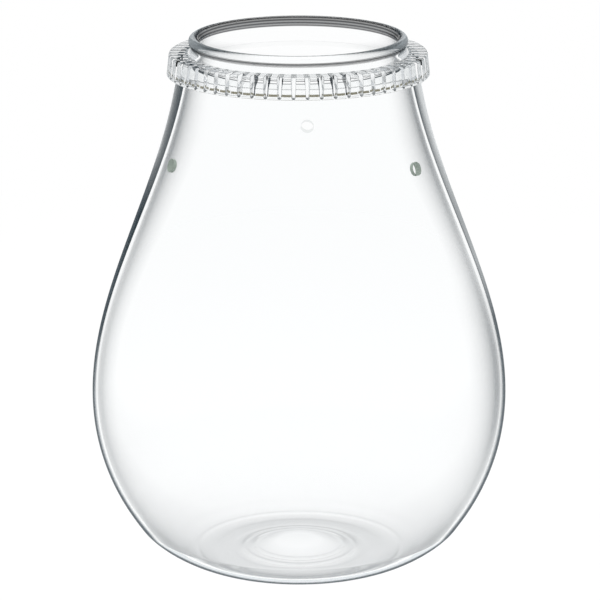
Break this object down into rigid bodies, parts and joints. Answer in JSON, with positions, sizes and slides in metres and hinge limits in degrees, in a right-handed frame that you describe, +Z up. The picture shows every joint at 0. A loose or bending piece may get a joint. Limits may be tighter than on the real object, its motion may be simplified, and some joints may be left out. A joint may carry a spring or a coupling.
{
  "type": "glass planter",
  "caption": "Clear blown glass planter, pear shaped with a short neck, a wide belly and drilled air holes below the neck, and a slotted clear collar resting on its shoulder.",
  "frame": {"origin": "On the floor, under the vessel's axis: the centre of the bounding box's bottom face.", "axes": "+Z up along the vessel's axis, -Y to the front that the picture shows, +X to the right as seen from the front."},
  "size_m": [0.1552, 0.1552, 0.2],
  "materials": {
    "clear_glass": "clear, fire polished, faint cool tint at the edges",
    "clear_plastic": "clear, glossy, as moulded"
  },
  "bodies": {
    "vessel": {"glass_vessel": "clear_glass"},
    "collar": {"neck_collar": "clear_plastic"}
  },
  "joints": [
    {"name": "collar_lift", "type": "slide", "parent": "vessel", "child": "collar", "axis": [0, 0, 1], "range_m": [0, 0.03]}
  ]
}
